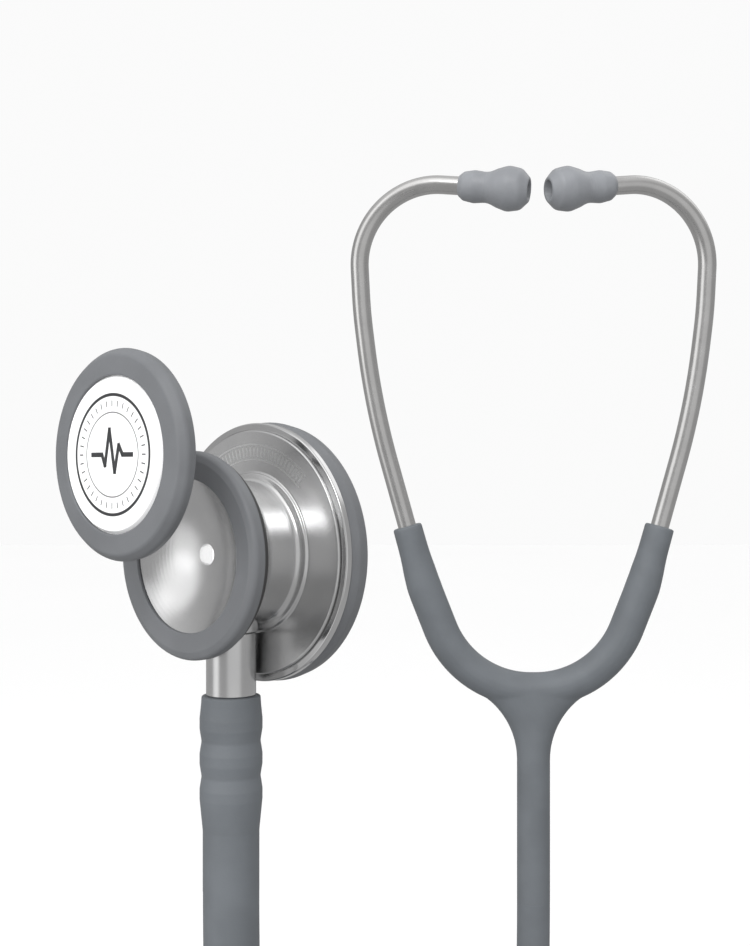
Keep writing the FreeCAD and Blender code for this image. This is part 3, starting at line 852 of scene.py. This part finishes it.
# ear tubes
earTube = {"radius": 2.75, "insert": 20.5, "flare": 38.0, "flareBend": 240.0, "rise": 28.6, "riseTilt": 7.0,
           "riseBend": 155.0, "bend": 23.0, "bendX": 54.0, "bendZ": 4.7, "reach": 10.5}
foot = armTop - armHeading * earTube["insert"]
shoulder = armTop + armHeading * earTube["flare"]
waist = shoulder + tilted(earTube["riseTilt"]) * earTube["rise"]
bendCorner = Vector((earTube["bendX"], planeY, earTube["bendZ"]))
tubeEnd = tipMouth / mm + tipAxis * earTube["reach"]
earPath = pathPoints([foot, shoulder, waist, bendCorner, tubeEnd],
                     [0, earTube["flareBend"], earTube["riseBend"], earTube["bend"], 0], 1.2)

# ear tips: a mushroom bulb with a round mouth and a stepped skirt
tipRows = [
    (1.6, 2.6), (2.0, 2.0, 0.3), (2.7, 0.6, 0.5), (3.0, 0.0, 0.25), (3.6, 0.0, 0.7), (6.05, 2.4, 2.6),
    (6.75, 6.3, 4.0), (5.65, 9.6, 4.0), (4.4, 12.3, 5.0), (4.85, 16.4, 3.5), (4.25, 19.6, 1.4),
    (3.1, 21.0, 0.3), (2.85, 21.0), (2.85, 18.6), (3.5, 18.6), (3.5, 9.0), (1.6, 9.0),
]

for side, label, tipPlace in ((-1, "left", leftTipPlace), (1, "right", rightTipPlace)):
    path = [Vector((side * spot.x, spot.y, spot.z)) for spot in earPath]
    bar = sweptPiece(label + "EarTube", path, earTube["radius"] * mm, None, 14)
    settle(bar, label + "EarTube", earTubeSteel, 40)
    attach(bar, label + "_arm")
    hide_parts(label + "_ear_tube")
    tip = turnedPiece(label + "EarTip", tipRows, tipPlace, tipGrey, steps=112)
    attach(tip, label + "_tip")
    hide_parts(label + "_eartip")
print("headset ready")

# CAD nodes that stay as they are
keptFinishes = {
    "valve_sleeve": glowingAcetal,
    "detent_balls": springSteel,
    "detent_spring": springSteel,
    "retaining_ring": springSteel,
    "left_spring_clip": springSteel,
    "right_spring_clip": springSteel,
    "left_eartip_core": nylon,
    "right_eartip_core": nylon,
}
for node, material in keptFinishes.items():
    nodes[node].data.materials.clear()
    nodes[node].data.materials.append(material)

# floor
floorLook = {"height": -0.46, "size": 14.0, "dark": 0.44, "pale": 0.46, "glow": 0.51}
deselectAll()
bpy.ops.mesh.primitive_plane_add(size=floorLook["size"], location=(0, 0, floorLook["height"]))
floor = bpy.context.object
floor.name = "floor"
floorFinish = Finish("paleFloor")
floorCloud = floorFinish.noise(floorFinish.coords, 0.7, 2.0)
floorTone = floorFinish.mixed(floorCloud, shade(floorLook["dark"]), shade(floorLook["pale"]))
floorPaint = floorFinish.give(baseColor=floorTone, roughness=0.9, specular=0.0,
                              glowColor=shade(1.0), glow=floorLook["glow"])
floor.data.materials.append(floorPaint)
floor.visible_glossy = False
floor.visible_diffuse = False

# soft studio light all round: bright above, darker below, with large softboxes
sky = {"backdrop": 0.962, "low": 0.47, "high": 0.85, "from": 0.3, "to": 0.9}
softboxes = [
    {"towards": (-0.35, -0.55, 0.76), "strength": 0.7, "outer": 0.82, "inner": 0.95},
    {"towards": (-0.87, -0.41, 0.28), "strength": 0.95, "outer": 0.90, "inner": 0.975},
    {"towards": (-0.92, -0.37, -0.12), "strength": 0.6, "outer": 0.94, "inner": 0.985},
    {"towards": (0.33, -0.94, -0.02), "strength": 0.3, "outer": 0.78, "inner": 0.92},
    {"towards": (0.60, 0.42, 0.67), "strength": 0.7, "outer": 0.90, "inner": 0.97},
    {"towards": (-0.155, -0.79, 0.591), "strength": 4.0, "outer": 0.965, "inner": 0.99},
]


def makeSky():
    world = bpy.data.worlds.new("studio")
    world.use_nodes = True
    bpy.context.scene.world = world
    board = Board(world.node_tree)
    heading = board.node("ShaderNodeTexCoord", None, None, "Generated")
    height = board.node("ShaderNodeSeparateXYZ", None, {0: heading}, "Z")
    light = sky["low"] + board.smooth(height, sky["from"], sky["to"]) * (sky["high"] - sky["low"])
    for box in softboxes:
        towards = Vector(box["towards"]).normalized()
        facing = board.node("ShaderNodeVectorMath", {"operation": "DOT_PRODUCT"},
                            {0: heading, 1: towards}, "Value")
        light = light + board.smooth(facing, box["outer"], box["inner"]) * box["strength"]
    seen = board.node("ShaderNodeLightPath", None, None, "Is Camera Ray")
    light = light + seen * (sky["backdrop"] - light)
    background = world.node_tree.nodes["Background"]
    board.feed(background.inputs["Strength"], light)
    board.feed(background.inputs["Color"], shade(1.0))


makeSky()

# soft fill for the matt parts, not seen in the metal
fillAim = Vector((-0.04, 0, -0.1))
fills = [
    {"name": "frontFill", "at": (-0.75, -1.3, 0.25), "size": 1.6, "power": 17.5},
    {"name": "sideFill", "at": (1.3, -0.9, 0.1), "size": 1.2, "power": 6.0},
    {"name": "topFill", "at": (0.1, -0.5, 1.3), "size": 1.5, "power": 6.0},
]
for fill in fills:
    lamp = bpy.data.lights.new(fill["name"], "AREA")
    lamp.shape = "SQUARE"
    lamp.size = fill["size"]
    lamp.energy = fill["power"]
    holder = bpy.data.objects.new(fill["name"], lamp)
    bpy.context.scene.collection.objects.link(holder)
    holder.location = fill["at"]
    aim = fillAim - Vector(fill["at"])
    holder.rotation_euler = aim.to_track_quat("-Z", "Y").to_euler()
    holder.visible_glossy = False

bpy.context.scene.view_settings.view_transform = "Standard"
bpy.context.scene.view_settings.look = "None"
print("floor and light ready")
